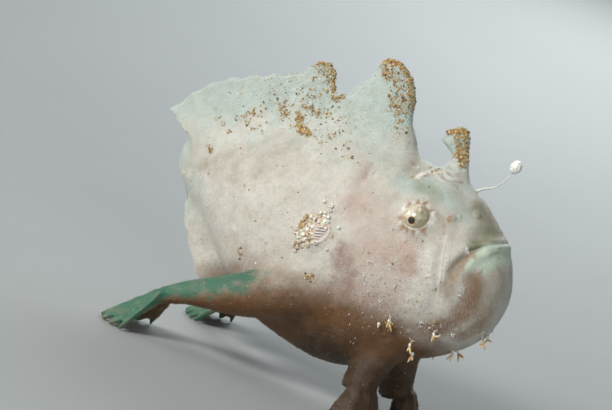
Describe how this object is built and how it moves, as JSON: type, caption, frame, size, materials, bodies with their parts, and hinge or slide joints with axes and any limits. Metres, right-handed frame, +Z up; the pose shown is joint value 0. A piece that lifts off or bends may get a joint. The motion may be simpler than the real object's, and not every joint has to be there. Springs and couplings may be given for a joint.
{
  "type": "frogfish",
  "caption": "Life-size frogfish standing on its arms and feet, with a lure on its snout, tall dorsal spines, rayed fins and a tail bent to its left.",
  "frame": {"origin": "centre of the fish's box, on the floor that its hands and feet stand on", "axes": "+X the way the fish faces and its longest extent, +Z up, the fish's right side towards -Y"},
  "size_m": [0.1026, 0.0669, 0.0842],
  "materials": {
    "skin": "soft matt skin, pale cream to pink",
    "fin": "thin matt fin skin over rays",
    "eye": "wet and glossy",
    "lure": "matt white"
  },
  "bodies": {
    "root": {"anal_fin": "skin", "caudal_fin": "fin", "dorsal_fin": "skin", "eye_left": "eye", "eye_right": "eye", "head": "skin", "lower_jaw": "skin", "lure_bait": "lure", "lure_rod": "fin", "pectoral_arm_left": "skin", "pectoral_arm_right": "skin", "pectoral_hand_left": "fin", "pectoral_hand_right": "fin", "pelvic_foot_left": "fin", "pelvic_foot_right": "fin", "pelvic_leg_left": "skin", "pelvic_leg_right": "skin", "second_spine": "skin", "tail": "skin", "third_spine": "skin", "torso": "skin"}
  },
  "joints": []
}
